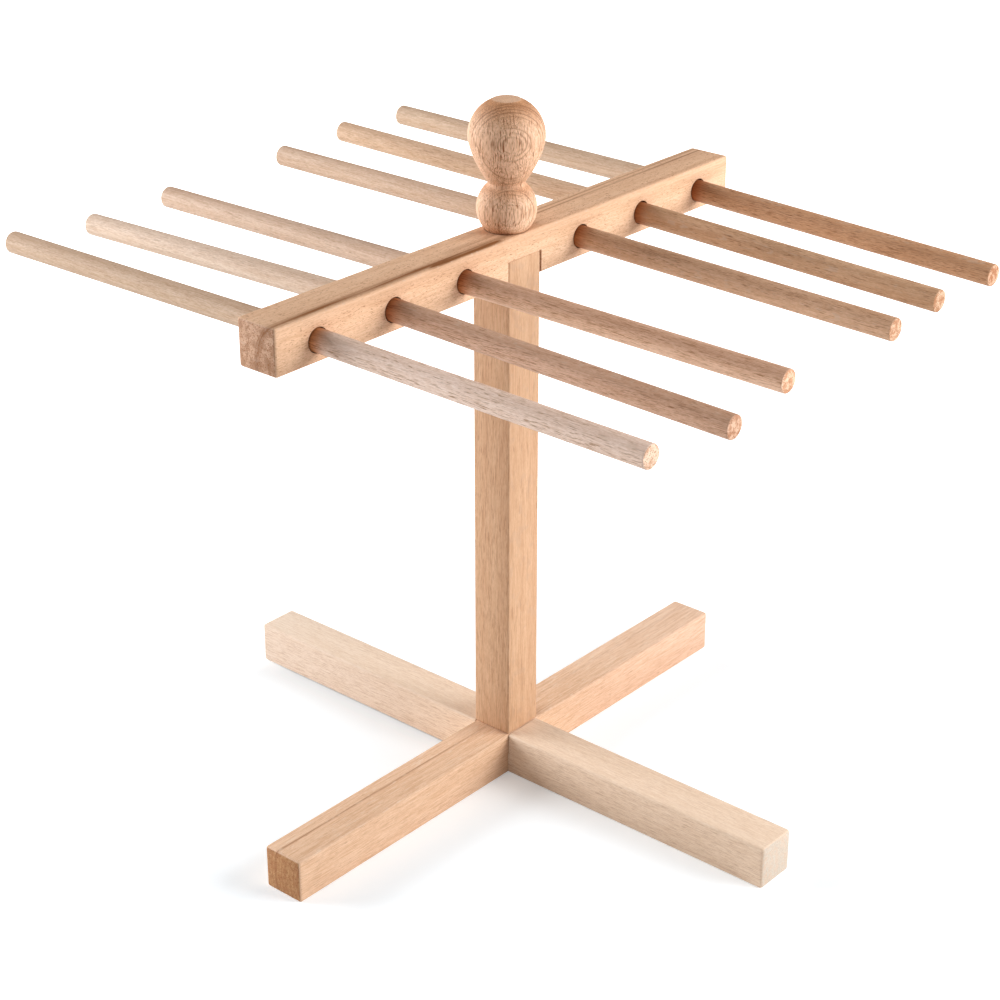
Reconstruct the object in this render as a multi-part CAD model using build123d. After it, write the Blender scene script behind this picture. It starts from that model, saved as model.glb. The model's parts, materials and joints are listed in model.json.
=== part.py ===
from build123d import *
from math import asin, atan2, cos, hypot, sin, sqrt
import os

# A table rack for drying fresh pasta: two crossed base bars, a post, a rail that drops over
# the post's head, twelve loose rods in the rail, and a turned knob that screws the rail down.
# Sizes are in millimetres. +X runs along the front rods, +Y along the rail and +Z up.
# The origin lies on the table, under the middle of the post.

# Square stock, which all four bars are sawn from
stock = 21.0
eased_edge = 0.8

# Base: two bars crossed in a half lap
upper_crossbar_length = 300.0
lower_crossbar_length = 314.0
lap_side_gap = 0.15

# Post, from the crossing to its head
post_length = 237.0

# Housing cut under the rail for the post's head
housing_depth = 10.5
housing_side_gap = 0.3

# Rods, in rows from -Y to +Y. A front and a back rod share each bore through the rail
rod_radius = 5.0
rod_length = 173.5
rod_end_chamfer = 0.6
rods_each_side_of_post = 3
first_rod_offset = 38.8
rod_spacing = 43.9
rail_end_margin = 23.4
bore_radial_gap = 0.3
bore_below_middle = 1.0

# Where each rod's inner end lies in the photograph, from the rail's middle towards the rod's own
# side, as shares of half the rail's width. A rod pushed past the middle has pushed its pair out
front_end_shares = (0.16, 0.62, 0.02, -0.04, -0.57, -0.5)
back_end_shares = (0.62, 0.48, 0.24, 0.49, 0.62, 0.62)

# How far each loose rod hangs out of level in the photograph, in degrees, as shares of the most
most_lean = 1.9
front_lean_shares = (0.3, 0.65, 0.2, 0.6, 0.9, 1.0)
back_lean_shares = (0.4, 0.85, 0.35, 0.05, -0.35, -0.2)

# Turned knob: a ball below, a sharp neck, and a round head on a cone, with a flat on top
knob_height = 57.2
knob_ball_radius = 13.3
knob_ball_centre_height = 9.5
knob_ball_shoulder_height = 19.0
knob_neck_radius = 8.2
knob_neck_height = 20.9
knob_head_radius = 16.7
knob_head_centre_height = 41.6

# Stud fixed in the knob, and the threaded insert that it screws into
stud_radius = 3.0
stud_depth_in_knob = 22.0
stud_depth_in_insert = 10.0
stud_end_chamfer = 0.8
stud_hole_end_gap = 0.3
stud_passing_gap = 0.3
stud_fit_gap = 0.05
insert_radius = 5.0
insert_length = 13.0
insert_recess = 0.3
insert_fit_gap = 0.02

# Countersunk wood screw, up through the crossing into the post's foot
screw_length = 60.0
screw_radius = 2.5
screw_head_radius = 4.8
screw_head_height = 2.6
screw_head_recess = 0.8
screw_tip_length = 5.0
screw_passing_gap = 0.3
screw_fit_gap = 0.02
pilot_end_gap = 1.0

# How far a cutting tool runs past the face that it opens
overrun = 2.0

# Places that follow from the sizes
half_stock = stock / 2
lap_depth = stock / 2
post_foot_z = stock
post_head_z = post_foot_z + post_length
rail_bottom_z = post_head_z - housing_depth
rail_top_z = rail_bottom_z + stock
bore_radius = rod_radius + bore_radial_gap
bore_z = rail_bottom_z + half_stock - bore_below_middle
rail_length = 2 * (first_rod_offset + (rods_each_side_of_post - 1) * rod_spacing + rail_end_margin)


def rod_rows():
    # Places of the rows along the rail, the same on both sides of the post
    steps = [first_rod_offset + step * rod_spacing for step in range(rods_each_side_of_post)]
    return [-y for y in reversed(steps)] + steps


def eased_bar(size_x, size_y, size_z):
    # A bar that stands on z = 0, with the arris taken off every edge
    bar = Box(size_x, size_y, size_z, align=(Align.CENTER, Align.CENTER, Align.MIN))
    return chamfer(bar.edges(), eased_edge)


def upright_cylinder(radius, low_z, high_z):
    # A cylinder on the post's axis
    shape = Cylinder(radius, high_z - low_z, align=(Align.CENTER, Align.CENTER, Align.MIN))
    return Pos(0, 0, low_z) * shape


def turned(points_line, axis=Axis.Z):
    # A solid turned from the closed outline to the right of the axis
    return revolve(make_face(points_line), axis)


def make_screw():
    # Head below, shank upright, and a plain point: the thread is left to the picture
    head_z = screw_head_recess
    neck_z = head_z + screw_head_height
    tip_z = head_z + screw_length
    outline = Polyline(
        (0, 0, head_z),
        (screw_head_radius, 0, head_z),
        (screw_radius, 0, neck_z),
        (screw_radius, 0, tip_z - screw_tip_length),
        (0, 0, tip_z),
        close=True,
    )
    return turned(outline)


def make_screw_hole():
    # Countersink and passing hole, cut through both base bars
    mouth_radius = screw_head_radius + screw_passing_gap
    hole_radius = screw_radius + screw_passing_gap
    neck_z = screw_head_recess + screw_head_height
    outline = Polyline(
        (0, 0, -overrun),
        (mouth_radius, 0, -overrun),
        (mouth_radius, 0, screw_head_recess),
        (hole_radius, 0, neck_z),
        (hole_radius, 0, stock + overrun),
        (0, 0, stock + overrun),
        close=True,
    )
    return turned(outline)


def make_pilot_hole():
    # Hole in the post's foot that the screw bites into
    top_z = screw_head_recess + screw_length + pilot_end_gap
    return upright_cylinder(screw_radius + screw_fit_gap, post_foot_z - overrun, top_z)


def make_crossbar_upper():
    # Bar along the rail's line, notched from beneath so that its top runs through
    bar = eased_bar(stock, upper_crossbar_length, stock)
    notch_width = stock + 2 * lap_side_gap
    notch = Box(
        stock + 2 * overrun,
        notch_width,
        lap_depth + overrun,
        align=(Align.CENTER, Align.CENTER, Align.MAX),
    )
    return bar - Pos(0, 0, lap_depth) * notch - make_screw_hole()


def make_crossbar_lower():
    # Bar along the rods' line, notched from above to pass under the other
    bar = eased_bar(lower_crossbar_length, stock, stock)
    notch_width = stock + 2 * lap_side_gap
    notch = Box(
        notch_width,
        stock + 2 * overrun,
        stock - lap_depth + overrun,
        align=(Align.CENTER, Align.CENTER, Align.MIN),
    )
    return bar - Pos(0, 0, lap_depth) * notch - make_screw_hole()


def make_post():
    # Post with the screw's pilot hole in its foot and the insert's bore in its head
    post = Pos(0, 0, post_foot_z) * eased_bar(stock, stock, post_length)
    insert_floor_z = post_head_z - insert_recess - insert_length
    insert_bore = upright_cylinder(
        insert_radius + insert_fit_gap, insert_floor_z, post_head_z + overrun
    )
    return post - make_pilot_hole() - insert_bore


def make_rod_bores():
    # One bore through the rail for each row, with room for two rods from its two sides
    bores = []
    for y in rod_rows():
        bore = Cylinder(bore_radius, stock + 2 * overrun, rotation=(0, 90, 0))
        bores.append(Pos(0, y, bore_z) * bore)
    return bores


def make_rail():
    # Rail with the housing beneath, the bores for the rods and the stud's passing hole
    rail = Pos(0, 0, rail_bottom_z) * eased_bar(stock, rail_length, stock)
    housing = Box(
        stock + 2 * overrun,
        stock + 2 * housing_side_gap,
        housing_depth + overrun,
        align=(Align.CENTER, Align.CENTER, Align.MAX),
    )
    rail -= Pos(0, 0, post_head_z) * housing
    rail -= upright_cylinder(
        stud_radius + stud_passing_gap, post_head_z - overrun, rail_top_z + overrun
    )
    for bore in make_rod_bores():
        rail -= bore
    return rail


def make_rod(side, y, end_share, lean_share):
    # A loose rod that leans about the middle of the length that the bore holds
    held_length = half_stock - half_stock * end_share
    rod = Cylinder(rod_radius, rod_length, align=(Align.CENTER, Align.CENTER, Align.MIN))
    outer_end = rod.edges().filter_by(GeomType.CIRCLE).sort_by(Axis.Z)[-1]
    rod = Pos(0, 0, -held_length / 2) * chamfer(outer_end, rod_end_chamfer)
    lean = Rot(0, side * (90 + most_lean * lean_share), 0)
    return Pos(side * (half_stock - held_length / 2), y, bore_z) * lean * rod


def on_circle(radius, centre_height, height):
    # Point of the knob's outline on a circle whose centre lies on the axis
    return (sqrt(radius**2 - (height - centre_height) ** 2), 0, rail_top_z + height)


def make_knob():
    # Turned from arcs centred on the axis and straight cuts, and bored from below for the stud
    foot = on_circle(knob_ball_radius, knob_ball_centre_height, 0)
    ball_side = (knob_ball_radius, 0, rail_top_z + knob_ball_centre_height)
    shoulder = on_circle(knob_ball_radius, knob_ball_centre_height, knob_ball_shoulder_height)
    neck = (knob_neck_radius, 0, rail_top_z + knob_neck_height)
    top = on_circle(knob_head_radius, knob_head_centre_height, knob_height)
    head_side = (knob_head_radius, 0, rail_top_z + knob_head_centre_height)

    # The cone above the neck touches the head's circle without a corner
    rise = knob_head_centre_height - knob_neck_height
    lean = asin(knob_head_radius / hypot(rise, knob_neck_radius)) - atan2(knob_neck_radius, rise)
    cheek = (
        knob_head_radius * cos(lean),
        0,
        rail_top_z + knob_head_centre_height - knob_head_radius * sin(lean),
    )
    outline = [
        Line((0, 0, rail_top_z), foot),
        ThreePointArc(foot, ball_side, shoulder),
        Line(shoulder, neck),
        Line(neck, cheek),
        ThreePointArc(cheek, head_side, top),
        Line(top, (0, 0, top[2])),
        Line((0, 0, top[2]), (0, 0, rail_top_z)),
    ]
    hole_top_z = rail_top_z + stud_depth_in_knob + stud_hole_end_gap
    stud_hole = upright_cylinder(stud_radius + stud_fit_gap, rail_top_z - overrun, hole_top_z)
    return turned(outline) - stud_hole


def make_stud():
    # Stud from inside the knob, down through the rail, into the post's insert
    stud = upright_cylinder(
        stud_radius, post_head_z - stud_depth_in_insert, rail_top_z + stud_depth_in_knob
    )
    leading_end = stud.edges().filter_by(GeomType.CIRCLE).sort_by(Axis.Z)[0]
    return chamfer(leading_end, stud_end_chamfer)


def make_insert():
    # Threaded sleeve, let into the post's head just below its face
    top_z = post_head_z - insert_recess
    sleeve = upright_cylinder(insert_radius, top_z - insert_length, top_z)
    bore = upright_cylinder(
        stud_radius + stud_fit_gap, top_z - insert_length - overrun, top_z + overrun
    )
    return sleeve - bore


parts = {
    "crossbar_upper": make_crossbar_upper(),
    "crossbar_lower": make_crossbar_lower(),
    "foot_screw": make_screw(),
    "post": make_post(),
    "post_insert": make_insert(),
    "rail": make_rail(),
    "knob": make_knob(),
    "knob_stud": make_stud(),
}
for row, row_y in enumerate(rod_rows()):
    front_rod = make_rod(1, row_y, front_end_shares[row], front_lean_shares[row])
    back_rod = make_rod(-1, row_y, back_end_shares[row], back_lean_shares[row])
    parts[f"rod_front_{row + 1}"] = front_rod
    parts[f"rod_back_{row + 1}"] = back_rod

os.makedirs("parts", exist_ok=True)
for node_name, shape in parts.items():
    export_step(shape, f"parts/{node_name}.step")
    print(node_name, round(shape.volume), "mm3")
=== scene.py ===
# Pasta drying rack in beech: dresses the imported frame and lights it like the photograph
import json
import math

import bpy
from mathutils import Matrix, Vector


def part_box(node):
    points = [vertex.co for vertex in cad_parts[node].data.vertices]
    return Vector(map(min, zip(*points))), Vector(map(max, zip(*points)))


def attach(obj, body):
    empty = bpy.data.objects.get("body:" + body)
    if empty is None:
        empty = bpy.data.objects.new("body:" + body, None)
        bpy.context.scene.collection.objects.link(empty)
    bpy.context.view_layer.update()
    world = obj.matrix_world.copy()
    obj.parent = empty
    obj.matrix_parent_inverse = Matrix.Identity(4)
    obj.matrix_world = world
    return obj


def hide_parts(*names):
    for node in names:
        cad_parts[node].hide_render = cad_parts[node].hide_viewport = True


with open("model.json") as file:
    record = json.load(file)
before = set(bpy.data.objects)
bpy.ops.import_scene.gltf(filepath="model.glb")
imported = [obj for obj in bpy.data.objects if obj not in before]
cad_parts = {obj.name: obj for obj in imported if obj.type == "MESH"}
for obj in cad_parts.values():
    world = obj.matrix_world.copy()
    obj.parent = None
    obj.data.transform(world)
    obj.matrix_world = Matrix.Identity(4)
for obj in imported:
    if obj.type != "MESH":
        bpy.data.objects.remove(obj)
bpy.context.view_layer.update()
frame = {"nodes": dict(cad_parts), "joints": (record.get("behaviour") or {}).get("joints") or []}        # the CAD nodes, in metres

mm = 0.001
print("frame loaded:", len(frame["nodes"]), "nodes")


# helpers

# How far a cutter runs past the face that it opens
overrun = 2 * mm

# The fine arris that sanding leaves on the edges of a cut, and how sharp such an edge is in degrees
sandedEase = 0.15 * mm
cutAngle = 60

# Facets round a narrow and a wide turned form
narrowTurn = 48
wideTurn = 64

# A thread's ridge: facets for each turn, and its flank as a share of the pitch
threadSteps = 28
flankShare = 0.42


def pickNothing():
    bpy.ops.object.select_all(action="DESELECT")


def pickOnly(piece):
    pickNothing()
    piece.select_set(True)
    bpy.context.view_layer.objects.active = piece


def remove(piece):
    pickOnly(piece)
    bpy.ops.object.delete()


def applyPlace():
    # the active object's place, turn and scale go into its mesh
    bpy.ops.object.transform_apply(location=True, rotation=True, scale=True)
    return bpy.context.object


def addObject(name, data):
    thing = bpy.data.objects.new(name, data)
    bpy.context.scene.collection.objects.link(thing)
    return thing


def addBlock(name, low, high):
    # a block between two corners
    pickNothing()
    bpy.ops.mesh.primitive_cube_add(size=1, location=(low + high) / 2, scale=high - low)
    block = applyPlace()
    block.name = name
    return block


def addRoundBar(sides, radius, length, middle):
    # a cylinder that lies along X
    pickNothing()
    bpy.ops.mesh.primitive_cylinder_add(
        vertices=sides, radius=radius, depth=length, location=middle, rotation=(0, math.radians(90), 0)
    )
    return applyPlace()


def addWire(name, points, edges):
    # an object of edges only, through (radius, height) points in the XZ plane
    mesh = bpy.data.meshes.new(name)
    mesh.from_pydata([(radius, 0, height) for radius, height in points], edges, [])
    return addObject(name, mesh)


def turnOutline(name, outline, steps):
    # spins an outline of (radius, height) points in metres about the Z axis
    edges = [(first, first + 1) for first in range(len(outline) - 1)]
    piece = addWire(name, outline, edges)
    pickOnly(piece)
    bpy.ops.object.mode_set(mode="EDIT")
    bpy.ops.mesh.select_all(action="SELECT")
    bpy.ops.mesh.spin(steps=steps, angle=2 * math.pi, center=(0, 0, 0), axis=(0, 0, 1))
    bpy.ops.mesh.select_all(action="SELECT")
    bpy.ops.mesh.remove_doubles(threshold=0.01 * mm)
    bpy.ops.mesh.normals_make_consistent(inside=False)
    bpy.ops.object.mode_set(mode="OBJECT")
    return piece


def addThread(name, rootRadius, crestRadius, pitch, low, high):
    # a thread's ridge: one triangle of wire carried up a helix by a Screw modifier
    flank = flankShare * pitch
    corners = [(rootRadius, low), (crestRadius, low + flank), (rootRadius, low + 2 * flank)]
    thread = addWire(name, corners, [(0, 1), (1, 2), (2, 0)])
    pickOnly(thread)
    bpy.ops.object.modifier_add(type="SCREW")
    helix = thread.modifiers[-1]
    helix.axis = "Z"
    helix.screw_offset = pitch
    helix.iterations = int((high - low) / pitch) - 1
    helix.steps = threadSteps
    helix.render_steps = threadSteps
    bpy.ops.object.modifier_apply(modifier=helix.name)
    bpy.ops.object.mode_set(mode="EDIT")
    bpy.ops.mesh.select_all(action="SELECT")
    bpy.ops.mesh.fill_holes(sides=3)
    bpy.ops.mesh.normals_make_consistent(inside=False)
    bpy.ops.object.mode_set(mode="OBJECT")
    return thread


def arcThrough(start, middle, end, count):
    # points on the circle through three points, from start to end, as (radius, height)
    (ax, ay), (bx, by), (cx, cy) = start, middle, end
    squares = [x * x + y * y for x, y in (start, middle, end)]
    rises = (by - cy, cy - ay, ay - by)
    runs = (cx - bx, ax - cx, bx - ax)
    divisor = 2 * sum(x * rise for x, rise in zip((ax, bx, cx), rises))
    centreX = sum(square * rise for square, rise in zip(squares, rises)) / divisor
    centreY = sum(square * run for square, run in zip(squares, runs)) / divisor
    radius = math.hypot(ax - centreX, ay - centreY)
    first, way, last = (math.atan2(y - centreY, x - centreX) for x, y in (start, middle, end))
    if not min(first, last) <= way <= max(first, last):
        last += 2 * math.pi if last < first else -2 * math.pi
    turns = [first + (last - first) * step / count for step in range(count + 1)]
    return [(centreX + radius * math.cos(turn), centreY + radius * math.sin(turn)) for turn in turns]


def cutAway(piece, cutter):
    # what the cutter covers comes off the piece, and the cutter goes
    pickOnly(piece)
    bpy.ops.object.modifier_add(type="BOOLEAN")
    cut = piece.modifiers[-1]
    cut.operation = "DIFFERENCE"
    cut.solver = "EXACT"
    cut.object = cutter
    bpy.ops.object.modifier_apply(modifier=cut.name)
    remove(cutter)


def easeEdges(piece, width, segments=3, angle=50):
    # the arris comes off every edge sharper than the angle
    pickOnly(piece)
    bpy.ops.object.modifier_add(type="BEVEL")
    ease = piece.modifiers[-1]
    ease.width = width
    ease.segments = segments
    ease.limit_method = "ANGLE"
    ease.angle_limit = math.radians(angle)
    bpy.ops.object.modifier_apply(modifier=ease.name)


def easeCuts(piece, segments=1):
    easeEdges(piece, sandedEase, segments, cutAngle)


def joinInto(piece, other):
    pickOnly(piece)
    other.select_set(True)
    bpy.ops.object.join()


def nodeCentre(node):
    low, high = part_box(node)
    return (low + high) / 2


def finishPiece(piece, body, node, material, softAngle=32):
    # one material, soft shading, and its place in the frame
    piece.data.materials.clear()
    piece.data.materials.append(material)
    pickOnly(piece)
    bpy.ops.object.shade_smooth_by_angle(angle=math.radians(softAngle))
    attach(piece, body)
    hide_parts(node)


# shader nodes

def linear(hexColour):
    # an sRGB hex colour as the linear colour that Blender works in
    values = []
    for place in (1, 3, 5):
        value = int(hexColour[place:place + 2], 16) / 255
        values.append(value / 12.92 if value <= 0.04045 else ((value + 0.055) / 1.055) ** 2.4)
    return (*values, 1)


def addNode(tree, kind, inputs=None, **settings):
    # settings are the node's own options; an input is linked if it gets a socket, and set if not
    node = tree.nodes.new(kind)
    for key, value in settings.items():
        setattr(node, key, value)
    for key, value in (inputs or {}).items():
        if isinstance(value, bpy.types.NodeSocket):
            tree.links.new(value, node.inputs[key])
        else:
            node.inputs[key].default_value = value
    return node


def newMaterial(name):
    material = bpy.data.materials.new(name)
    material.use_nodes = True
    material.node_tree.nodes.clear()
    return material, material.node_tree


def addMath(tree, operation, *values):
    return addNode(tree, "ShaderNodeMath", dict(enumerate(values)), operation=operation).outputs[0]


def addVector(tree, operation, *values):
    # a length or a dot product comes out as a number, anything else as a vector
    node = addNode(tree, "ShaderNodeVectorMath", dict(enumerate(values)), operation=operation)
    return node.outputs["Value" if operation in ("LENGTH", "DOT_PRODUCT") else "Vector"]


def addParts(tree, vector):
    return addNode(tree, "ShaderNodeSeparateXYZ", {"Vector": vector}).outputs


def addRange(tree, value, fromLow, fromHigh, toLow=0.0, toHigh=1.0, curve="LINEAR"):
    inputs = {"Value": value, "From Min": fromLow, "From Max": fromHigh, "To Min": toLow, "To Max": toHigh}
    return addNode(tree, "ShaderNodeMapRange", inputs, interpolation_type=curve).outputs[0]


def addRamp(tree, value, *stops):
    # stops are (place, grey) pairs, in order
    ramp = addNode(tree, "ShaderNodeValToRGB", {"Fac": value})
    elements = ramp.color_ramp.elements
    while len(elements) < len(stops):
        elements.new(0.5)
    for element, (place, grey) in zip(elements, stops):
        element.position = place
        element.color = (grey, grey, grey, 1)
    return ramp.outputs["Color"]


def addMix(tree, colour, amount, other, blend="MIX"):
    # sockets 6, 7 and 2 are the node's two colours and its colour result
    inputs = {"Factor": amount, 6: colour, 7: other}
    return addNode(tree, "ShaderNodeMix", inputs, data_type="RGBA", blend_type=blend).outputs[2]


def addTint(tree, colour, mask, amount, tone, blend="MIX"):
    # the tone goes in where the mask is, as far as the amount says
    return addMix(tree, colour, addMath(tree, "MULTIPLY", mask, amount), tone, blend)


def addNoise(tree, vector, cells, detail, rough, output=0):
    # a noise with cells of that size, in the vector's own unit
    scale = [1 / size for size in cells]
    spread = addNode(tree, "ShaderNodeMapping", {"Vector": vector, "Scale": scale}).outputs[0]
    inputs = {"Vector": spread, "Scale": 1.0, "Detail": detail, "Roughness": rough}
    return addNode(tree, "ShaderNodeTexNoise", inputs).outputs[output]


def addBump(tree, height, strength, distance):
    inputs = {"Strength": strength, "Distance": distance, "Height": height}
    return addNode(tree, "ShaderNodeBump", inputs).outputs[0]


def addSurface(tree, inputs):
    shader = addNode(tree, "ShaderNodeBsdfPrincipled", inputs)
    addNode(tree, "ShaderNodeOutputMaterial", {"Surface": shader.outputs[0]})


# beech

# Turns, in degrees, that bring a piece's grain to Z
grainTurns = {"X": (0, -90, 0), "Y": (90, 0, 0), "Z": (0, 0, 0)}

# The noises in the figure: cells in millimetres, outwards from the pith, round it and along the
# grain, then detail and roughness
beechNoises = {
    "sway": ((160 / 3, 160 / 3, 160.0), 2.0, 0.45),
    "ringPatch": ((1.2, 7.0, 18.0), 2.0, 0.5),
    "bandPatch": ((0.8, 9.0, 60.0), 2.0, 0.5),
    "streak": ((4.2, 20.0, 240.0), 3.0, 0.55),
    "poreCluster": ((2.6, 5.0, 34.0), 2.0, 0.5),
    "fibre": ((0.4, 0.4, 12.0), 3.0, 0.6),
    "grit": ((0.55, 0.55, 1.7), 2.0, 0.6),
    "cloud": ((17.0, 17.0, 80.0), 2.0, 0.5),
    "endMottle": ((2.6, 2.6, 2.6), 3.0, 0.6),
}

# More sizes in millimetres: how far apart along the tree two seeds are cut, rays and pores outwards
# from the pith and round it, and the pores in an end
beechSizes = {"seedStep": 370.0, "ray": (6.0, 0.38), "pore": (0.45, 0.38), "endPore": 0.8}

# The rings' uneven width: waves for each millimetre from the pith, and rings that a wave moves them by
ringWaves = {"perMillimetre": 0.11, "rings": 5.0}

# The darker parts of the figure, as shares of the pale wood's red, green and blue
beechShades = {"late": (0.80, 0.73, 0.66), "streak": (0.58, 0.40, 0.28), "fleck": (0.38, 0.26, 0.16)}

# What is darker in wood is browner too: the tone that darkens it, and the (value, amount) stops
# between which each noise is dark
beechBrown = (0.78, 0.68, 0.58, 1)
beechDarkening = {
    "cloud": ((0.3, 0.5), (0.7, 0.0)),
    "fibre": ((0.34, 1.0), (0.6, 0.0)),
    "grit": ((0.36, 1.0), (0.62, 0.0)),
}

# Rays and pores show where their noise is above a piece's own least value, with soft edges
dashNoise = {"detail": 1.6, "rough": 0.6, "softness": 0.08}

# Dry, sanded wood: how far rays and pores sink in, roughness where the fibres lie low and stand proud,
# the relief's strength and height, and how the surface reflects
dryWood = {
    "sink": -0.25, "fibres": (0.3, 0.7), "roughness": (0.72, 0.56), "relief": (0.25, 0.12 * mm),
    "refraction": 1.45, "specular": 0.35,
}

# Tones of the painted sheen on rays, of pale end grain, of the painted shade in the bores and of the painted
# shadow under the knob's foot
beechMarksAndShades = {"shine": "#FFEBD6", "endPale": "#FCEBD9", "boreShade": "#5E3010", "paintedFootShadow": "#3E2210"}

# What a piece's wood has where its own dictionary doesn't say otherwise. Only in a piece's own, in
# millimetres: pith (its place across the grain), heart (edge, amount), fade (start, end, tone) and
# paintedSideShade (axis, way, tone, start, end), with starts and ends along the grain from the middle. A
# band is (from the pith, width, strength, start, end). In metres: paintedRootShade and paintedFootShadow
# (inner, outer, amount)
usualBeech = {
    "drift": 0.0, "ringEdge": 0.62, "ringLeast": 0.15, "bands": (), "bandLeast": 0.4,
    "flake": 0.25, "dashWidth": 1.0, "rayLength": 6.0, "poreLength": 5.0, "poreLeast": 0.6,
    "gritAmount": 0.3, "shine": 0.3, "boreShadeAmount": 0.8,
    "endFrom": 0.7, "endPeak": 1.0, "endPale": 0.0, "endMottle": 0.3, "endRings": 0.4, "endPores": 0.4,
}


def beechTones(look):
    # a piece's own tones, or else shares of its pale tone
    tones = {"pale": linear(look["pale"])}
    for part, shares in beechShades.items():
        shaded = (*(tone * share for tone, share in zip(tones["pale"], shares)), 1)
        tones[part] = linear(look[part]) if part in look else shaded
    return tones


def addWoodSpace(tree, place, grain, centre, look):
    # places in millimetres from the pith, Z along the grain
    turnX, turnY, turnZ = grainTurns[grain]
    turns = [math.radians(turn) for turn in (turnX, turnY + look["drift"], turnZ)]
    pithX, pithY = look["pith"]
    measures = {
        "Vector": addVector(tree, "SUBTRACT", place["Object"], centre),
        "Location": (-pithX, -pithY, 0), "Rotation": turns, "Scale": [1 / mm] * 3,
    }
    fromMiddle = addNode(tree, "ShaderNodeMapping", measures).outputs[0]
    turned = {"Vector": place["Normal"], "Rotation": turns}
    normal = addNode(tree, "ShaderNodeMapping", turned, vector_type="VECTOR").outputs[0]

    # each piece is cut from its own part of the tree, and its rings sway slowly along the grain
    seeded = addVector(tree, "ADD", fromMiddle, (0, 0, look["seed"] * beechSizes["seedStep"]))
    sway = addNoise(tree, seeded, *beechNoises["sway"], "Color")
    sway = addVector(tree, "SUBTRACT", sway, (0.5, 0.5, 0.5))
    swayed = addVector(tree, "MULTIPLY_ADD", sway, (look["sway"], look["sway"], 0), seeded)

    # rolled out: outwards from the pith, round it, and along the grain
    parts = addParts(tree, swayed)
    squares = [addMath(tree, "MULTIPLY", parts[axis], parts[axis]) for axis in ("X", "Y")]
    fromPith = addMath(tree, "SQRT", addMath(tree, "ADD", *squares))
    angle = addMath(tree, "ARCTAN2", parts["Y"], parts["X"])
    roundPith = addMath(tree, "MULTIPLY", angle, math.hypot(pithX, pithY))
    rolled = {"X": fromPith, "Y": roundPith, "Z": parts["Z"]}

    # how squarely a face looks away from the pith, where the rays end in it as short dashes
    outward = addVector(tree, "NORMALIZE", addVector(tree, "MULTIPLY", swayed, (1, 1, 0)))
    return {
        "seeded": seeded,
        "rolled": addNode(tree, "ShaderNodeCombineXYZ", rolled).outputs[0],
        "fromPith": fromPith,
        "alongPiece": addParts(tree, fromMiddle)["Z"],
        "facing": addMath(tree, "ABSOLUTE", addVector(tree, "DOT_PRODUCT", outward, normal)),
    }


def addRings(tree, wood, look):
    # growth rings of uneven width, with a thin line of dark late wood
    step = addMath(tree, "MULTIPLY", wood["fromPith"], ringWaves["perMillimetre"])
    inputs = {"W": step, "Scale": 1.0, "Detail": 1.0}
    uneven = addNode(tree, "ShaderNodeTexNoise", inputs, noise_dimensions="1D").outputs[0]
    uneven = addMath(tree, "MULTIPLY", uneven, ringWaves["rings"])
    count = addMath(tree, "MULTIPLY_ADD", wood["fromPith"], 1 / look["ringWidth"], uneven)
    stops = ((0.0, 0.1), (look["ringEdge"], 0.2), (0.88, 1.0), (0.98, 0.1))
    ring = addRamp(tree, addMath(tree, "FRACT", count), *stops)
    patch = addNoise(tree, wood["rolled"], *beechNoises["ringPatch"])
    patch = addRamp(tree, patch, (0.38, look["ringLeast"]), (0.62, 1.0))
    return addMath(tree, "MULTIPLY", ring, patch)


def addBands(tree, wood, look):
    # the few dark rings that the piece shows, each over its own stretch of the grain
    patch = addNoise(tree, wood["rolled"], *beechNoises["bandPatch"])
    patch = addRamp(tree, patch, (0.36, look["bandLeast"]), (0.6, 1.0))
    darkest = 0.0
    for fromPith, width, strength, start, end in look["bands"]:
        offset = addMath(tree, "SUBTRACT", wood["fromPith"], fromPith)
        offset = addMath(tree, "DIVIDE", offset, width)
        fall = addMath(tree, "MULTIPLY", addMath(tree, "MULTIPLY", offset, offset), -1.0)
        hump = addMath(tree, "POWER", math.e, fall)
        spell = addMath(tree, "SUBTRACT", wood["alongPiece"], (start + end) / 2)
        spell = addMath(tree, "ABSOLUTE", addMath(tree, "DIVIDE", spell, (end - start) / 2))
        fade = addMath(tree, "SUBTRACT", 1.0, addMath(tree, "POWER", spell, 6.0))
        fade = addNode(tree, "ShaderNodeClamp", {"Value": fade}).outputs[0]
        band = addMath(tree, "MULTIPLY", addMath(tree, "MULTIPLY", hump, fade), patch)
        darkest = addMath(tree, "MAXIMUM", darkest, addMath(tree, "MULTIPLY", band, strength))
    return darkest


def addDashes(tree, wood, cells, least):
    # rays and pores are thin plates that stand out from the pith: dashes on a face that follows the
    # rings, faint flakes on one that crosses them. Each is the peaks of a noise drawn out along the grain
    peaks = addNoise(tree, wood["rolled"], cells, dashNoise["detail"], dashNoise["rough"])
    return addRamp(tree, peaks, (least, 0.0), (least + dashNoise["softness"], 1.0))


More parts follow.
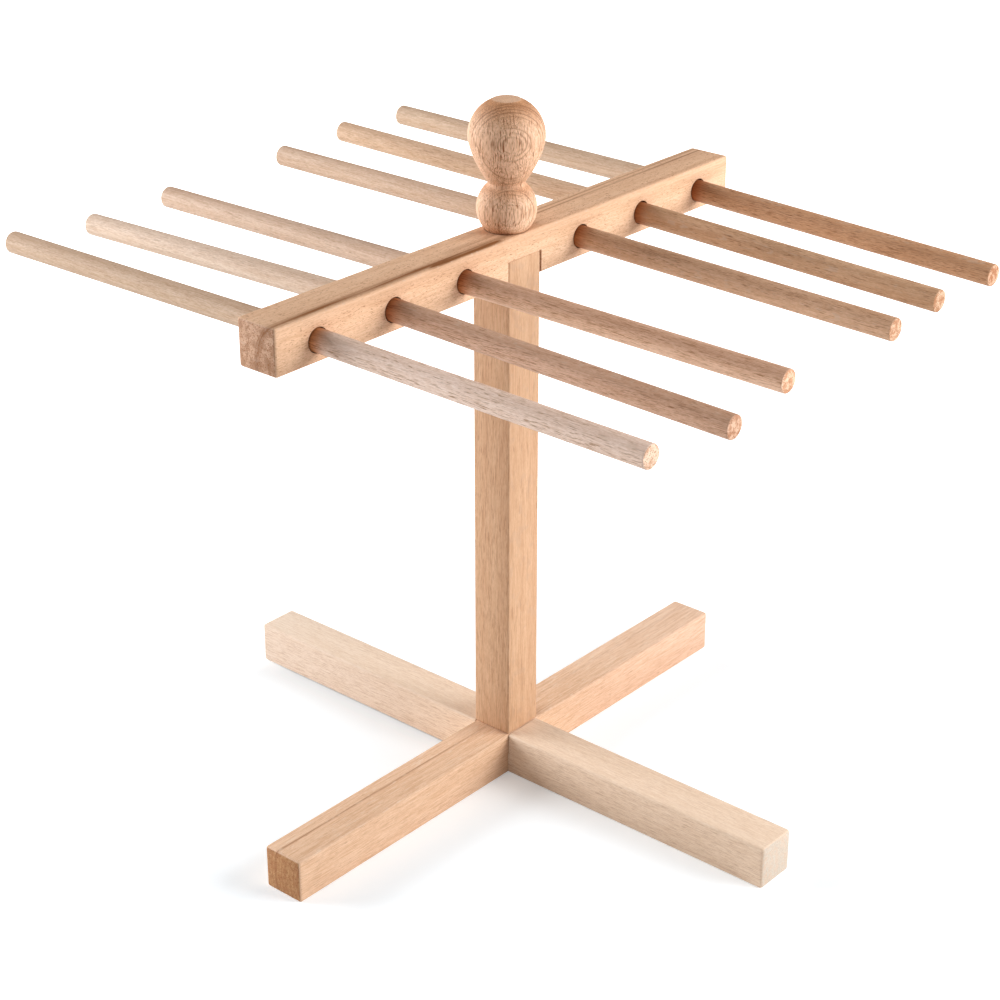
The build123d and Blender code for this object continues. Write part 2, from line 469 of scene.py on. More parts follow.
def addFigure(tree, wood, look):
    # each part of the figure, from 0 where it isn't to 1 where it is
    def cells(part, length):
        outwards, around = beechSizes[part]
        return (outwards, around * look["dashWidth"], length)

    figure = {part: addNoise(tree, wood["seeded"], *beechNoises[part]) for part in beechDarkening}
    streak = addNoise(tree, wood["rolled"], *beechNoises["streak"])
    cluster = addNoise(tree, wood["rolled"], *beechNoises["poreCluster"])
    cluster = addRamp(tree, cluster, (0.38, 0.25), (0.62, 1.0))
    pore = addDashes(tree, wood, cells("pore", look["poreLength"]), look["poreLeast"])
    ray = addDashes(tree, wood, cells("ray", look["rayLength"]), look["rayLeast"])
    flat = addRange(tree, wood["facing"], 0.35, 0.85, look["flake"], 1.0)
    figure["rings"] = addRings(tree, wood, look)
    figure["bands"] = addBands(tree, wood, look)
    figure["streak"] = addRamp(tree, streak, (0.44, 0.0), (0.66, 1.0))
    figure["pore"] = addMath(tree, "MULTIPLY", pore, cluster)
    figure["ray"] = addMath(tree, "MULTIPLY", ray, flat)
    figure["shine"] = addMath(tree, "MULTIPLY", ray, addMath(tree, "SUBTRACT", 1.0, flat))
    return figure


def addFace(tree, wood, figure, sides, look, tones):
    # the pale wood with its rings, its darker parts, and its rays and pores
    colour = addTint(tree, tones["pale"], figure["rings"], look["ringAmount"], tones["late"])
    colour = addTint(tree, colour, figure["streak"], look["streakAmount"], tones["late"])
    if "heart" in look:
        # the darker heart of the tree; the ramp runs over the first 100 mm from the pith
        edge, amount = look["heart"]
        fromPith = addMath(tree, "MULTIPLY", wood["fromPith"], 0.01)
        inside = addRamp(tree, fromPith, (edge * 0.01 - 0.006, 1.0), (edge * 0.01 + 0.001, 0.0))
        colour = addTint(tree, colour, inside, amount, tones["late"])
    colour = addMix(tree, colour, figure["bands"], tones["streak"])
    if "fade" in look:
        # the wood goes over to another tone along the piece
        fadeFrom, fadeTo, tone = look["fade"]
        colour = addMix(tree, colour, addRange(tree, wood["alongPiece"], fadeFrom, fadeTo), linear(tone))
    if "paintedSideShade" in look:
        # painted shade: one side is darkened for the weaker light on it, all along or toward one end
        axis, way, tone, sideShadeFrom, sideShadeTo = look["paintedSideShade"]
        onSide = addRange(tree, addMath(tree, "MULTIPLY", sides[axis], way), 0.05, 0.75)
        toEnd = addRange(tree, wood["alongPiece"], sideShadeFrom, sideShadeTo)
        colour = addTint(tree, colour, onSide, toEnd, linear(tone), "MULTIPLY")
    for part, stops in beechDarkening.items():
        mask = addRamp(tree, figure[part], *stops)
        colour = addTint(tree, colour, mask, look[f"{part}Amount"], beechBrown, "MULTIPLY")
    # painted sheen: rays on faces that cross the rings are painted paler, as though they shone
    colour = addTint(tree, colour, figure["shine"], look["shine"], linear(beechMarksAndShades["shine"]))
    colour = addTint(tree, colour, figure["pore"], look["poreAmount"], tones["fleck"])
    return addTint(tree, colour, figure["ray"], look["rayAmount"], tones["fleck"])


def addEnds(tree, wood, figure, onEnd, colour, look, tones):
    # the ends of the grain drink more: darker, and speckled with pores
    mottle = addNoise(tree, wood["seeded"], *beechNoises["endMottle"])
    mottle = addRamp(tree, mottle, (0.42, 1.0), (0.56, 0.0))
    inputs = {"Vector": wood["seeded"], "Scale": 1 / beechSizes["endPore"]}
    pores = addNode(tree, "ShaderNodeTexVoronoi", inputs).outputs["Distance"]
    pores = addRamp(tree, pores, (0.18, 1.0), (0.42, 0.0))
    stained = addMix(tree, colour, look["endPale"], linear(beechMarksAndShades["endPale"]))
    stained = addMix(tree, stained, 1.0, linear(look["endStain"]), "MULTIPLY")
    stained = addTint(tree, stained, mottle, look["endMottle"], tones["streak"])
    stained = addTint(tree, stained, figure["rings"], look["endRings"], tones["streak"])
    stained = addTint(tree, stained, pores, look["endPores"], tones["fleck"])
    stops = ((look["endFrom"], 0.0), (0.92, 1.0), (0.975, 1.0), (0.995, look["endPeak"]))
    return addMix(tree, colour, addRamp(tree, onEnd, *stops), stained)


def addPaintedShade(tree, place, sides, colour, look):
    # painted shade: the bores' walls are darkened brown, as shade falls inside them
    boreShading = addNode(tree, "ShaderNodeAttribute", attribute_name="boreShade").outputs["Fac"]
    colour = addTint(tree, colour, boreShading, look["boreShadeAmount"], linear(beechMarksAndShades["boreShade"]))
    if "paintedRootShade" in look:
        # painted shade: the rods are darkened brown where they go into the rail's bores
        nearRail, farOut, amount = look["paintedRootShade"]
        fromRail = addMath(tree, "ABSOLUTE", addParts(tree, place["Object"])["X"])
        rootShading = addRange(tree, fromRail, nearRail, farOut, amount, 0.0, "SMOOTHERSTEP")
        colour = addMix(tree, colour, rootShading, linear(look["paintedRootShadeTone"]), "MULTIPLY")
    if "paintedFootShadow" in look:
        # painted shadow: a dark ring on the rail's top where the knob's foot sits on it
        inner, outer, amount = look["paintedFootShadow"]
        fromAxis = addVector(tree, "LENGTH", addVector(tree, "MULTIPLY", place["Object"], (1, 1, 0)))
        mark = addRange(tree, fromAxis, inner, outer, amount, 0.0, "SMOOTHSTEP")
        onTop = addMath(tree, "GREATER_THAN", sides["Z"], 0.5)
        colour = addTint(tree, colour, mark, onTop, linear(beechMarksAndShades["paintedFootShadow"]))
    return colour


def beech(name, grain, centre, ownLook):
    # untreated beech, sawn or turned and then sanded: pale pinkish tan, faint rings, short brown ray
    # flecks along the grain, a dry satin surface, and darker ends where the pores drink
    look = {**usualBeech, **ownLook}
    tones = beechTones(look)
    material, tree = newMaterial(name)
    place = addNode(tree, "ShaderNodeTexCoord").outputs
    sides = addParts(tree, place["Normal"])
    wood = addWoodSpace(tree, place, grain, centre, look)
    figure = addFigure(tree, wood, look)
    onEnd = addMath(tree, "ABSOLUTE", sides[grain])
    colour = addFace(tree, wood, figure, sides, look, tones)
    colour = addEnds(tree, wood, figure, onEnd, colour, look, tones)
    colour = addPaintedShade(tree, place, sides, colour, look)

    # dry wood scatters; the fibres stand a little proud and the rays and pores lie in it
    sunk = addMath(tree, "ADD", figure["ray"], figure["pore"])
    height = addMath(tree, "MULTIPLY_ADD", sunk, dryWood["sink"], figure["fibre"])
    addSurface(tree, {
        "Base Color": colour,
        "Roughness": addRange(tree, figure["fibre"], *dryWood["fibres"], *dryWood["roughness"]),
        "Normal": addBump(tree, height, *dryWood["relief"]),
        "IOR": dryWood["refraction"],
        "Specular IOR Level": dryWood["specular"],
    })
    return material


# metals

steelLook = {
    "dull": "#9FA3A6", "bright": "#C9CBCB", "cellsPerMetre": 900.0, "detail": 3.0,
    "roughness": (0.24, 0.42), "relief": (0.2, 0.03 * mm),
}

# The rings of a wave of this scale lie about 0.8 mm apart
brassLook = {
    "dull": "#B08A3E", "bright": "#D2AE5E", "cellsPerMetre": 500.0, "detail": 2.0,
    "ringScale": 400.0, "ringWaver": 0.6, "ringDetail": 1.0,
    "roughness": (0.22, 0.38), "relief": (0.15, 0.02 * mm),
}


def addMetal(tree, tint, finish, look):
    # the colour follows the tint; the roughness and the relief follow the finish
    addSurface(tree, {
        "Base Color": addMix(tree, linear(look["dull"]), tint, linear(look["bright"])),
        "Metallic": 1.0,
        "Roughness": addRange(tree, finish, 0.0, 1.0, *look["roughness"]),
        "Normal": addBump(tree, finish, *look["relief"]),
    })


def addMottle(tree, place, look):
    inputs = {"Vector": place, "Scale": look["cellsPerMetre"], "Detail": look["detail"]}
    return addNode(tree, "ShaderNodeTexNoise", inputs).outputs[0]


def platedSteel(name):
    # zinc-plated steel, drawn and rolled: cool bright grey, softly mottled by the plating
    material, tree = newMaterial(name)
    place = addNode(tree, "ShaderNodeTexCoord").outputs["Object"]
    mottle = addMottle(tree, place, steelLook)
    addMetal(tree, mottle, mottle, steelLook)
    return material


def turnedBrass(name):
    # free-cutting brass, turned: warm yellow, with fine rings left by the tool
    material, tree = newMaterial(name)
    place = addNode(tree, "ShaderNodeTexCoord").outputs["Object"]
    inputs = {
        "Vector": place, "Scale": brassLook["ringScale"], "Distortion": brassLook["ringWaver"],
        "Detail": brassLook["ringDetail"],
    }
    rings = addNode(tree, "ShaderNodeTexWave", inputs, bands_direction="Z").outputs["Fac"]
    addMetal(tree, addMottle(tree, place, brassLook), rings, brassLook)
    return material


# base bars

crossbarUpperLook = {
    "arris": 1.25 * mm,
    "notchGap": 0.15 * mm,
    "wood": {
        "pale": "#F2D1B5", "late": "#D9AE89", "streak": "#A46C45", "fleck": "#8A5834", "endStain": "#D8C5A3",
        "pith": (30.6, 0.5), "sway": 2.5, "ringWidth": 2.8, "seed": 3.0,
        "bands": [(35.2, 0.5, 0.8, -260, 0), (35.4, 0.8, 0.25, 0, 260)],
        # the side entry at the end of the next line is painted shade, on the +X side toward the far end
        "heart": (34.8, 0.2), "fade": (10.0, 500.0, "#FFE9DC"), "paintedSideShade": ("X", 1, "#F9F3F1", 10, 60),
        "ringAmount": 0.3, "ringLeast": 0.5, "streakAmount": 0.25, "cloudAmount": 0.6, "fibreAmount": 0.8,
        "rayAmount": 0.4, "rayLeast": 0.6, "shine": 0.45, "poreAmount": 0.3,
        "endRings": 1.0, "endMottle": 0.6, "endPores": 0.7,
    },
}
crossbarLowerLook = {
    "arris": 1.25 * mm,
    "notchGap": 0.15 * mm,
    "wood": {
        "pale": "#F3DDC7", "late": "#E6CAB2", "streak": "#DDB999", "fleck": "#A67B5B", "endStain": "#E1EEFA",
        "pith": (14.0, -42.0), "sway": 4.0, "ringWidth": 3.6, "seed": 8.0,
        # the side entry at the end of the next line is painted shade, on the -Y side toward the far end
        "fade": (-20.0, -330.0, "#FFF4E8"), "paintedSideShade": ("Y", -1, "#F4F1F1", -10, -60),
        "ringAmount": 0.25, "streakAmount": 0.25, "cloudAmount": 0.4, "fibreAmount": 0.45,
        "rayAmount": 0.5, "rayLeast": 0.55, "flake": 0.1, "dashWidth": 0.8, "poreAmount": 0.25,
        "endPores": 0.25,
    },
}
screwHoleLook = {"mouthGap": 0.3 * mm, "radius": 2.8 * mm, "sinkDepth": 2.6 * mm}


def makeScrewHole():
    # the countersink and passing hole that both base bars share
    low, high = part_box("foot_screw")
    mouth = (high.x - low.x) / 2 + screwHoleLook["mouthGap"]
    radius = screwHoleLook["radius"]
    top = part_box("post")[0].z + overrun
    outline = [
        (0, -overrun), (mouth, -overrun), (mouth, low.z), (radius, low.z + screwHoleLook["sinkDepth"]),
        (radius, top), (0, top),
    ]
    return turnOutline("screwHole", outline, narrowTurn)


def makeCrossbar(name, node, look, notchAcross, notchLow, notchHigh):
    low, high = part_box(node)
    bar = addBlock(name, low, high)
    easeEdges(bar, look["arris"])
    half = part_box("post")[1].x + look["notchGap"]
    reach = half + overrun
    across = Vector((reach, half, 0)) if notchAcross == "X" else Vector((half, reach, 0))
    cutAway(bar, addBlock("notch", Vector((0, 0, notchLow)) - across, Vector((0, 0, notchHigh)) + across))
    cutAway(bar, makeScrewHole())
    easeCuts(bar)
    return bar


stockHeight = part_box("crossbar_upper")[1].z
lapHeight = stockHeight / 2
crossbarUpper = makeCrossbar(
    "crossbarUpper", "crossbar_upper", crossbarUpperLook, "X", -overrun, lapHeight
)
finishPiece(
    crossbarUpper, "stand", "crossbar_upper",
    beech("sawnBeechUpperBar", "Y", nodeCentre("crossbar_upper"), crossbarUpperLook["wood"]),
)
crossbarLower = makeCrossbar(
    "crossbarLower", "crossbar_lower", crossbarLowerLook, "Y", lapHeight, stockHeight + overrun
)
finishPiece(
    crossbarLower, "stand", "crossbar_lower",
    beech("sawnBeechLowerBar", "X", nodeCentre("crossbar_lower"), crossbarLowerLook["wood"]),
)
print("base bars made")


# post and its insert

postLook = {
    "arris": 0.9 * mm,
    "wood": {
        "pale": "#DCB593", "late": "#C69773", "streak": "#B07C54", "fleck": "#8A5833", "endStain": "#D2AE95",
        "pith": (9.0, -42.0), "sway": 6.0, "ringWidth": 2.8, "seed": 5.0,
        "ringAmount": 0.35, "streakAmount": 0.3, "cloudAmount": 0.5, "fibreAmount": 0.7,
        "rayAmount": 0.5, "rayLeast": 0.57, "flake": 0.3, "shine": 0.1,
        "poreAmount": 0.5, "poreLength": 9.0, "poreLeast": 0.59,
    },
}
insertLook = {
    "boreRadius": 3.05 * mm, "mouthChamfer": 0.5 * mm, "edgeChamfer": 0.3 * mm,
    "slotWidth": 1.6 * mm, "slotDepth": 1.8 * mm,
}


def makePost():
    # a square post, bored in its head for the insert
    low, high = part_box("post")
    post = addBlock("post", low, high)
    easeEdges(post, postLook["arris"])
    insertLow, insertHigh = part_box("post_insert")
    radius = insertHigh.x
    top = high.z + overrun
    bore = [(0, insertLow.z), (radius, insertLow.z), (radius, top), (0, top)]
    cutAway(post, turnOutline("insertBore", bore, wideTurn))
    easeCuts(post)
    return post


def makeInsert():
    # a turned sleeve, chamfered at its mouth, with a slot for the driver across its head
    low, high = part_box("post_insert")
    bore = insertLook["boreRadius"]
    mouth = insertLook["mouthChamfer"]
    edge = insertLook["edgeChamfer"]
    outline = [
        (bore, low.z), (high.x, low.z), (high.x, high.z - edge), (high.x - edge, high.z),
        (bore + mouth, high.z), (bore, high.z - mouth), (bore, low.z),
    ]
    insert = turnOutline("postInsert", outline, wideTurn)
    reach = high.x + overrun
    half = insertLook["slotWidth"] / 2
    slotLow = Vector((-reach, -half, high.z - insertLook["slotDepth"]))
    cutAway(insert, addBlock("slot", slotLow, Vector((reach, half, high.z + overrun))))
    return insert


finishPiece(
    makePost(), "stand", "post",
    beech("sawnBeechPost", "Z", nodeCentre("post"), postLook["wood"]),
)
finishPiece(makeInsert(), "stand", "post_insert", turnedBrass("turnedBrass"))
print("post made")


# wood screw beneath

screwLook = {
    "rimIn": 0.2 * mm, "rimUp": 0.25 * mm, "headHeight": 2.6 * mm,
    "shankRadius": 2.5 * mm, "shankEnd": 24 * mm, "rootRadius": 1.8 * mm, "rootStart": 25 * mm,
    "pitch": 2.2 * mm, "threadStart": 26 * mm, "threadEnd": 4 * mm, "threadSeat": 0.1 * mm, "tip": 6 * mm,
    "recessReach": 2.3 * mm, "recessWidth": 0.9 * mm, "recessDepth": 1.9 * mm,
}


def cutRecess(screw, low):
    # the crossed slots for the driver
    reach = screwLook["recessReach"]
    half = screwLook["recessWidth"] / 2
    for degrees in (45, 135):
        wing = addBlock(
            "wing",
            Vector((-reach, -half, low.z - overrun)),
            Vector((reach, half, low.z + screwLook["recessDepth"])),
        )
        wing.data.transform(Matrix.Rotation(math.radians(degrees), 4, "Z"))
        cutAway(screw, wing)


def makeFootScrew():
    low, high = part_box("foot_screw")
    shank = screwLook["shankRadius"]
    root = screwLook["rootRadius"]
    outline = [
        (0, low.z), (high.x - screwLook["rimIn"], low.z), (high.x, low.z + screwLook["rimUp"]),
        (shank, low.z + screwLook["headHeight"]), (shank, low.z + screwLook["shankEnd"]),
        (root, low.z + screwLook["rootStart"]), (root, high.z - screwLook["tip"]), (0, high.z),
    ]
    screw = turnOutline("footScrew", outline, narrowTurn)
    cutRecess(screw, low)
    thread = addThread(
        "screwThread", root - screwLook["threadSeat"], shank, screwLook["pitch"],
        low.z + screwLook["threadStart"], high.z - screwLook["threadEnd"],
    )
    joinInto(screw, thread)
    return screw


steel = platedSteel("zincPlatedSteel")
finishPiece(makeFootScrew(), "stand", "foot_screw", steel)
print("screw made")


# rail

railLook = {
    "arris": 1.25 * mm,
    "boreRadius": 5.5 * mm,
    "boreSides": 72,
    "boreBelowMiddle": 1.0 * mm,
    "housingGap": (0.5 * mm, 0.75 * mm),
    "studGap": 0.3 * mm,
    "wood": {
        "pale": "#EEC7A6", "late": "#D2A481", "streak": "#8F5B30", "fleck": "#96592C", "endStain": "#EBE8EC",
        "pith": (19.4, 6.3), "sway": 1.6, "ringWidth": 2.6, "seed": 14.0, "drift": 0.8,
        "bands": [
            (21.4, 1.1, 1.0, -175, 15), (20.3, 1.2, 1.6, -62, -12), (24.5, 1.2, 0.6, -45, -8),
            (28.2, 0.5, 0.9, -10, 180), (30.6, 0.45, 0.7, 5, 170),
        ],
        # painted shadow: a dark ring under the knob's foot
        "paintedFootShadow": (9.2 * mm, 10.4 * mm, 0.7),
        "ringAmount": 0.55, "streakAmount": 0.35, "cloudAmount": 0.5, "fibreAmount": 0.5,
        "rayAmount": 0.75, "rayLeast": 0.585, "rayLength": 1.8, "poreAmount": 0.25,
        "endMottle": 0.5, "endPores": 0.9,
    },
}
rows = range(1, 7)
rowPlaces = [nodeCentre(f"rod_front_{row}").y for row in rows]
boreHeight = nodeCentre("rail").z - railLook["boreBelowMiddle"]


def cutHousing(rail, low, high, head):
    # the cut beneath the rail that drops over the post's head
    gapNear, gapFar = railLook["housingGap"]
    housingLow = Vector((low.x - overrun, -head.y - gapNear, low.z - overrun))
    cutAway(rail, addBlock("housing", housingLow, Vector((high.x + overrun, head.y + gapFar, head.z))))


def cutStudHole(rail, high, head):
    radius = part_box("knob_stud")[1].x + railLook["studGap"]
    bottom = head.z - overrun
    top = high.z + overrun
    outline = [(0, bottom), (radius, bottom), (radius, top), (0, top)]
    cutAway(rail, turnOutline("studHole", outline, narrowTurn))


def markBoreShade(rail):
    # the bores' walls get a value that the material reads for their painted shade
    boreShade = rail.data.attributes.new("boreShade", "FLOAT", "FACE")
    for face in rail.data.polygons:
        away = min(math.hypot(face.center.y - y, face.center.z - boreHeight) for y in rowPlaces)
        inBore = away < railLook["boreRadius"] + 0.1 * mm
        boreShade.data[face.index].value = 1.0 if inBore else 0.0


def makeRail():
    # each bore runs right through, and is shared by a front and a back rod
    low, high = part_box("rail")
    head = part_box("post")[1]
    rail = addBlock("rail", low, high)
    easeEdges(rail, railLook["arris"])
    cutHousing(rail, low, high, head)
    cutStudHole(rail, high, head)
    for y in rowPlaces:
        length = high.x - low.x + 2 * overrun
        bore = addRoundBar(railLook["boreSides"], railLook["boreRadius"], length, (0, y, boreHeight))
        cutAway(rail, bore)
    easeCuts(rail, 2)
    markBoreShade(rail)
    return rail


finishPiece(
    makeRail(), "rail_body", "rail",
    beech("sawnBeechRail", "Y", nodeCentre("rail"), railLook["wood"]),
)
print("rail made")


# rods

rodLook = {
    "endEase": 0.6 * mm,
    "easeSteps": 4,
    "sides": 64,
    "firstSeed": 20.0, "seedStep": 1.7, "nearestPith": 26, "pithStep": 3, "pithTurn": 2.4,
    "beforeRod": (-400, -399),
    "front": ["#FFEADF", "#E3BEA7", "#FCD9C1", "#E2BB9D", "#DAB392", "#D6A884"],
    "back": ["#DEC5AE", "#F6E4D5", "#E9D0BD", "#E4CAB5", "#E6C8AD", "#E2CAB4"],
    # painted shade on each rod's upper side: the tones it is multiplied by, for the front and the back rods
    "frontAbove": ["#F9F6F4", "#F2EEEA", "#E6DDD8", "#FFFFFF", "#FFFFFF", "#FFFFFF"],
    "backAbove": ["#F8F5F3", "#F7F4F2", "#F8F5F3", "#FBF9F8", "#FBF9F8", "#FFFFFF"],
    "backFlecks": {"rayAmount": 0.5, "poreAmount": 0.45},
    "wood": {
        # the second and third entries are the painted shade where each rod goes into the rail: its tone and
        # its reach
        "endStain": "#FFF4EA", "paintedRootShadeTone": "#C07E1E", "paintedRootShade": (9 * mm, 22 * mm, 0.9),
        "sway": 7.0, "ringWidth": 2.3,
        "ringAmount": 0.45, "streakAmount": 0.6, "cloudAmount": 0.7, "fibreAmount": 0.6, "gritAmount": 0.5,
        "rayAmount": 0.95, "rayLeast": 0.57, "dashWidth": 0.7, "poreAmount": 0.85, "poreLeast": 0.57,
        "endPale": 0.3, "endPores": 1.0, "endMottle": 1.0, "endRings": 0.7,
    },
}


def rodWay(node):
    # the way that a rod points, which its draw joint follows
    return Vector(next(joint["axis"] for joint in frame["joints"] if joint["child"] == f"{node}_body"))


def rodEnds(node):
    # how far along its way a rod begins and ends
    way = rodWay(node)
    places = [vertex.co.dot(way) for vertex in frame["nodes"][node].data.vertices]
    return min(places), max(places)


def innerEnd(node):
    # the middle of a rod's inner face
    way = rodWay(node)
    nearest = rodEnds(node)[0]
    corners = [vertex.co for vertex in frame["nodes"][node].data.vertices]
    face = [corner for corner in corners if corner.dot(way) < nearest + 0.05 * mm]
    low = Vector([min(corner[axis] for corner in face) for axis in range(3)])
    high = Vector([max(corner[axis] for corner in face) for axis in range(3)])
    return (low + high) / 2


def makeRodPattern():
    # a round rod from its inner end at the origin out along +X, its outer edge eased
    low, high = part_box("rod_front_1")
    length = rodEnds("rod_front_1")[1] - innerEnd("rod_front_1").dot(rodWay("rod_front_1"))
    rod = addRoundBar(rodLook["sides"], (high.y - low.y) / 2, length, (length / 2, 0, 0))
    bpy.ops.object.mode_set(mode="EDIT")
    bpy.ops.mesh.select_mode(type="FACE")
    bpy.ops.mesh.select_all(action="DESELECT")
    bpy.ops.object.mode_set(mode="OBJECT")
    for face in rod.data.polygons:
        face.select = face.normal.x > 0.9
    bpy.ops.object.mode_set(mode="EDIT")
    bpy.ops.mesh.bevel(offset=rodLook["endEase"], segments=rodLook["easeSteps"], affect="EDGES")
    bpy.ops.object.mode_set(mode="OBJECT")
    return rod


def rodWood(side, row):
    # each rod has its own tones, and comes from its own part of the tree. Its painted shade on the upper
    # side starts before the rod does, so that it runs all along
    number = row + (0 if side == "front" else len(rows))
    fromPith = Vector((rodLook["nearestPith"] + rodLook["pithStep"] * (number % 4), 0))
    wood = dict(rodLook["wood"], pale=rodLook[side][row - 1])
    wood["seed"] = rodLook["firstSeed"] + number * rodLook["seedStep"]
    wood["pith"] = Matrix.Rotation(number * rodLook["pithTurn"], 2) @ fromPith
    wood["paintedSideShade"] = ("Z", 1, rodLook[f"{side}Above"][row - 1], *rodLook["beforeRod"])
    if side == "back":
        wood.update(rodLook["backFlecks"])
    return wood


def makeRod(side, row, pattern):
    node = f"rod_{side}_{row}"
    rod = addObject(f"rod{side.title()}{row}", pattern.data.copy())
    turn = Vector((1, 0, 0)).rotation_difference(rodWay(node)).to_matrix().to_4x4()
    rod.data.transform(Matrix.Translation(innerEnd(node)) @ turn)
    material = beech(f"turnedBeech{side.title()}{row}", "X", nodeCentre(node), rodWood(side, row))
    finishPiece(rod, f"{node}_body", node, material)


rodPattern = makeRodPattern()
for side in ("front", "back"):
    for row in rows:
        makeRod(side, row, rodPattern)
remove(rodPattern)
print("rods made")


# knob and its stud

# Sizes of the turned form are (radius, height) pairs in millimetres
knobLook = {
    "sides": 112,
    "arcSteps": {"ball": 22, "cheek": 16, "crown": 18},
    "foot": (9.3, 0),
    "ball": ((9.55, 0.2), (13.25, 9.8), (8.7, 19.8)),
    "neck": (8.1, 20.9),
    "cheek": ((8.4, 21.6), (13.6, 30.3), (16.65, 39.4)),
    "crown": ((16.65, 39.4), (14.6, 49.8), (6.6, 56.9)),
    "topFlat": (6.25, 57.2),
    "wood": {
        "pale": "#FED9BB", "late": "#D8A37F", "streak": "#8E5C36", "fleck": "#84471C", "endStain": "#E4CBB0",
        "pith": (-29.8, 26.2), "sway": 0.3, "ringWidth": 2.0, "seed": 2.0,
        "bands": [
            (48.1, 0.3, 0.8, 14, 40), (49.4, 0.22, 0.6, 12, 40), (50.6, 0.22, 0.6, 10, 40),
            (51.9, 0.14, 0.4, 8, 40), (55.6, 0.11, 1.1, -5, 40), (56.05, 0.07, 0.7, -5, 40),
            (54.9, 0.1, 0.5, -5, 40), (50.5, 0.2, 0.5, -9, 6), (46.75, 0.28, 1.0, 14, 40),
            (48.7, 0.2, 0.6, -30, -2), (49.9, 0.2, 0.5, -30, -2), (52.0, 0.12, 0.4, -35, -2),
            (52.55, 0.08, 0.4, -35, -2),
        ],
        "bandLeast": 0.0, "ringAmount": 0.5, "ringEdge": 0.76, "ringLeast": 0.55,
        "streakAmount": 0.25, "cloudAmount": 0.4, "fibreAmount": 0.9, "gritAmount": 0.5,
        "rayAmount": 0.8, "rayLeast": 0.57, "rayLength": 5.0, "dashWidth": 0.7,
        "poreAmount": 0.9, "poreLeast": 0.56, "poreLength": 6.0, "endFrom": 0.35, "endPeak": 0.1,
    },
}
studLook = {
    "pitch": 1.0 * mm, "coreRadius": 2.45 * mm, "threadTop": 24 * mm, "threadSeat": 0.05 * mm,
    "chamfer": 0.8 * mm, "tipIn": 0.5 * mm, "shoulder": 0.6 * mm,
}


def makeKnob():
    # the cheek runs on into the crown, which starts with the cheek's last point
    arcs = {part: arcThrough(*knobLook[part], steps) for part, steps in knobLook["arcSteps"].items()}
    outline = [(0, 0), knobLook["foot"], *arcs["ball"], knobLook["neck"]]
    outline += [*arcs["cheek"], *arcs["crown"][1:], knobLook["topFlat"], (0, knobLook["topFlat"][1])]
    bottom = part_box("knob")[0].z
    outline = [(radius * mm, bottom + height * mm) for radius, height in outline]
    return turnOutline("knob", outline, knobLook["sides"])


def makeStud():
    # threaded below, plain above where it sits in the knob
    low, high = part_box("knob_stud")
    core = studLook["coreRadius"]
    threadLow = low.z + studLook["chamfer"]
    threadTop = low.z + studLook["threadTop"]
    outline = [
        (0, low.z), (core - studLook["tipIn"], low.z), (core, threadLow), (core, threadTop),
        (high.x, threadTop + studLook["shoulder"]), (high.x, high.z), (0, high.z),
    ]
    stud = turnOutline("knobStud", outline, narrowTurn)
    seat = core - studLook["threadSeat"]
    joinInto(stud, addThread("studThread", seat, high.x, studLook["pitch"], threadLow, threadTop))
    return stud


finishPiece(
    makeKnob(), "knob_body", "knob",
    beech("turnedBeechKnob", "Z", nodeCentre("knob"), knobLook["wood"]), 28,
)
finishPiece(makeStud(), "knob_body", "knob_stud", steel)
print("knob made")


# floor, light and camera

floorLook = {
    "size": 8.0, "squares": 8, "roughness": 0.95, "specular": 0.1,
    "white": "#F2F2F2", "seenWhite": "#EAF1F6", "glow": 0.08,
    "near": 0.45, "far": 1.4, "nearLift": 0.2, "farLift": 1.2,
    "washes": (("X", -150 * mm, -163 * mm), ("Y", 143 * mm, 156 * mm)), "washLift": 0.25,
    "shadeAcross": (-26.5 * mm, -9.5 * mm), "shadeAlong": (-158 * mm, -135 * mm), "shadeTone": "#50667A",
    "shade": ((0.0, 0.0), (0.25, 0.05), (0.5, 0.12), (0.75, 0.19), (0.92, 0.25), (0.96, 0.42), (1.0, 0.55)),
}
roomLook = {"fill": 0.2, "background": 1.0}
panelLooks = {
    "rightPanel": {"place": (1.16, 0.73, 0.75), "width": 1.1, "watts": 28.0},
    "leftPanel": {"place": (-2.22, -1.08, 0.94), "width": 1.8, "watts": 88.0},
}
panelTarget = Vector((0, 0, 0.14))
cameraLook = {
    "place": (0.60136, -0.70425, 0.5822),
    "azimuth": 40.67,
    "elevation": 25.642,
    "lens": 80.62,
    "sensor": 36,
    "nearest": 0.05,
}


def addSeen(tree, *kinds):
    # 1 for the kinds of ray that look at the surface, 0 for those that only light by it
    rays = addNode(tree, "ShaderNodeLightPath").outputs
    seen = rays["Is Camera Ray"]
    for kind in kinds:
        seen = addMath(tree, "MAXIMUM", seen, rays[kind])
    return seen


def addShade(tree, spot, seen):
    # the shade along the far half of the lower base bar, which the panels wash out
    across = addRange(tree, spot["Y"], *floorLook["shadeAcross"])
    shade = addRamp(tree, across, *floorLook["shade"])
    along = addRange(tree, spot["X"], *floorLook["shadeAlong"], curve="SMOOTHSTEP")
    shade = addMath(tree, "MULTIPLY", shade, along)
    for axis in ("X", "Y"):
        farSide = addMath(tree, "LESS_THAN", spot[axis], 0.0)
        shade = addMath(tree, "MULTIPLY", shade, farSide)
    return addMath(tree, "MULTIPLY", shade, seen)


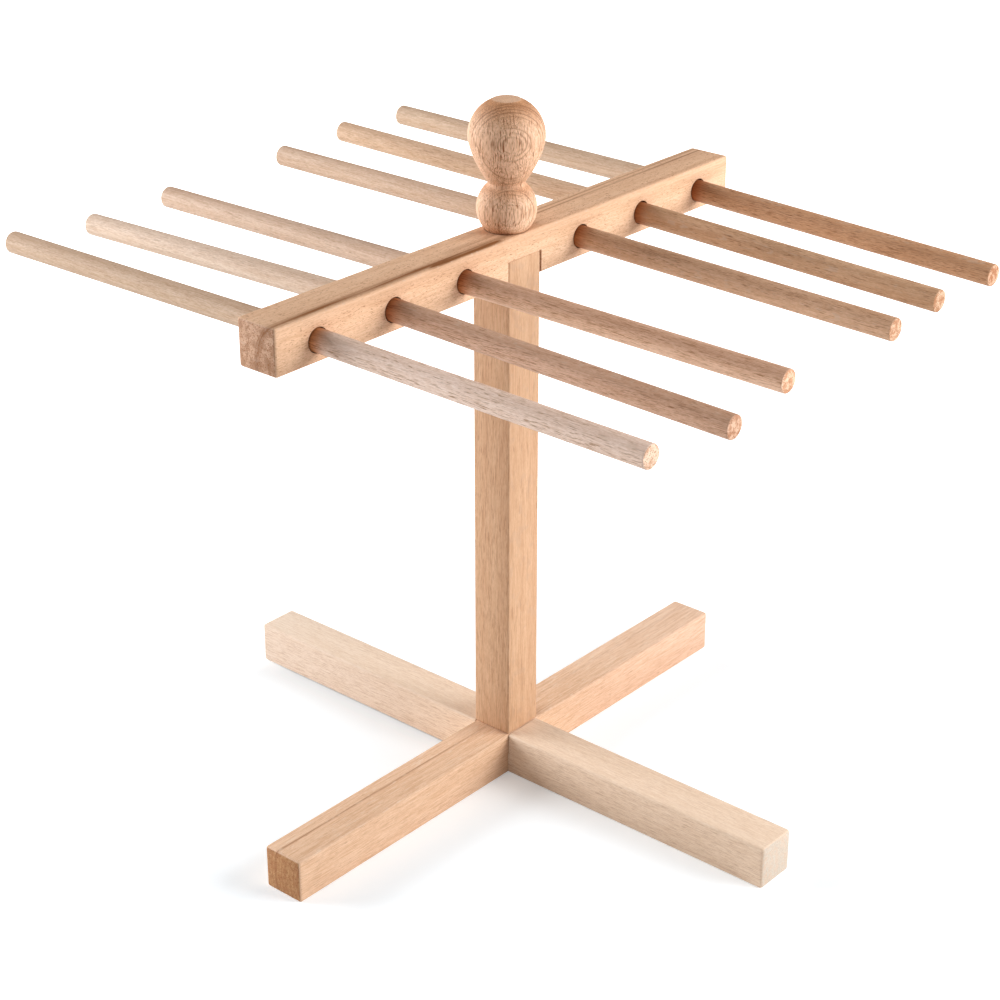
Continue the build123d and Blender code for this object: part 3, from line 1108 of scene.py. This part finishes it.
def paperFloor(name):
    # white paper, lit from behind a little, and lifted to white further off where the camera looks at it
    material, tree = newMaterial(name)
    seen = addSeen(tree, "Is Glossy Ray", "Is Transmission Ray")
    place = addNode(tree, "ShaderNodeTexCoord").outputs["Object"]
    spot = addParts(tree, place)
    lift = addRange(
        tree, addVector(tree, "LENGTH", place), floorLook["near"], floorLook["far"],
        floorLook["nearLift"], floorLook["farLift"],
    )
    lift = addMath(tree, "MULTIPLY_ADD", seen, lift, floorLook["glow"])
    for axis, washFrom, washTo in floorLook["washes"]:
        # past the bars' far ends the photograph's paper is washed white
        # painted light: this lifts the floor to white over the bars' own shadows there
        wash = addRange(tree, spot[axis], washFrom, washTo, 0.0, floorLook["washLift"])
        lift = addMath(tree, "ADD", lift, addMath(tree, "MULTIPLY", wash, seen))
    shade = addShade(tree, spot, seen)
    white = addMix(tree, linear(floorLook["white"]), seen, linear(floorLook["seenWhite"]))
    addSurface(tree, {
        "Base Color": addMix(tree, white, shade, linear(floorLook["shadeTone"])),
        "Roughness": floorLook["roughness"],
        "Specular IOR Level": floorLook["specular"],
        "Emission Color": (1, 1, 1, 1),
        "Emission Strength": addMath(tree, "MULTIPLY", lift, addMath(tree, "SUBTRACT", 1.0, shade)),
    })
    return material


def addFloor():
    pickNothing()
    squares = floorLook["squares"]
    bpy.ops.mesh.primitive_grid_add(
        x_subdivisions=squares, y_subdivisions=squares, size=floorLook["size"], location=(0, 0, 0)
    )
    floor = bpy.context.object
    floor.name = "floor"
    floor.data.materials.append(paperFloor("whitePaper"))


def addRoom():
    # a pale room: white where it is looked at, and a soft fill where it lights
    world = bpy.data.worlds.new("paleRoom")
    bpy.context.scene.world = world
    world.use_nodes = True
    tree = world.node_tree
    tree.nodes.clear()
    seen = addSeen(tree, "Is Transmission Ray")
    strength = addRange(tree, seen, 0.0, 1.0, roomLook["fill"], roomLook["background"])
    sky = addNode(tree, "ShaderNodeBackground", {"Color": (1, 1, 1, 1), "Strength": strength})
    addNode(tree, "ShaderNodeOutputWorld", {"Surface": sky.outputs[0]})


def addPanel(name, look):
    # a soft square panel that looks at the rack's middle
    data = bpy.data.lights.new(name, "AREA")
    data.shape = "SQUARE"
    data.size = look["width"]
    data.energy = look["watts"]
    data.color = (1, 1, 1)
    panel = addObject(name, data)
    panel.location = look["place"]
    panel.rotation_euler = (panelTarget - panel.location).to_track_quat("-Z", "Y").to_euler()


def addCamera():
    data = bpy.data.cameras.new("camera")
    data.sensor_width = cameraLook["sensor"]
    data.lens = cameraLook["lens"]
    data.clip_start = cameraLook["nearest"]
    camera = addObject("camera", data)
    camera.location = cameraLook["place"]
    tilt = math.radians(90 - cameraLook["elevation"])
    camera.rotation_euler = (tilt, 0, math.radians(cameraLook["azimuth"]))
    bpy.context.scene.camera = camera


addFloor()
addRoom()
for name, look in panelLooks.items():
    addPanel(name, look)
addCamera()
bpy.context.scene.view_settings.view_transform = "Standard"
print("stage made")
